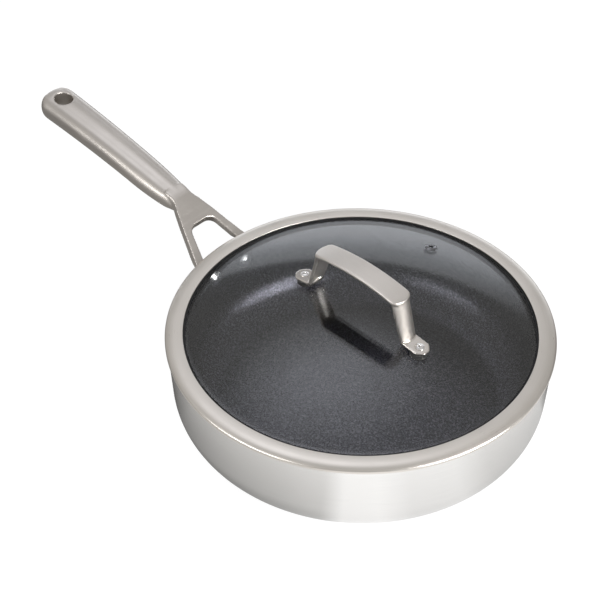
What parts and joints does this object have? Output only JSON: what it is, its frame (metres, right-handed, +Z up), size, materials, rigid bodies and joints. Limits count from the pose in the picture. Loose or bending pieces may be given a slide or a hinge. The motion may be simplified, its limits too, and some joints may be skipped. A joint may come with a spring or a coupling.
{
  "type": "saute pan with lid",
  "caption": "Straight-sided clad steel saute pan with a forked long handle and a domed glass lid in a wide steel band.",
  "frame": {"origin": "centre of the underside of the pan's base", "axes": "+Z up; the long handle points along -X"},
  "size_m": [0.4584, 0.2688, 0.128],
  "materials": {
    "polished_steel": "fine brushed, polished",
    "band_steel": "satin brushed",
    "handle_steel": "satin",
    "rivet_steel": "polished",
    "core_aluminium": "plain",
    "nonstick": "speckled nonstick coating",
    "lid_glass": "clear",
    "seal": "matt",
    "washer_rubber": "matt"
  },
  "bodies": {
    "pan": {"outer_shell": "polished_steel", "aluminium_core": "core_aluminium", "nonstick_liner": "nonstick", "long_handle": "handle_steel", "handle_rivet_left": "rivet_steel", "handle_rivet_right": "rivet_steel"},
    "lid": {"lid_glass": "lid_glass", "lid_band": "band_steel", "glass_gasket": "seal", "lid_handle": "handle_steel", "lid_rivet_left": "rivet_steel", "lid_rivet_right": "rivet_steel", "upper_washer_left": "washer_rubber", "upper_washer_right": "washer_rubber", "lower_washer_left": "washer_rubber", "lower_washer_right": "washer_rubber", "backing_washer_left": "rivet_steel", "backing_washer_right": "rivet_steel", "vent_eyelet": "rivet_steel"}
  },
  "joints": [
    {"name": "lid_lift", "type": "slide", "parent": "pan", "child": "lid", "axis": [0, 0, 1], "range_m": [0, 0.12]}
  ]
}
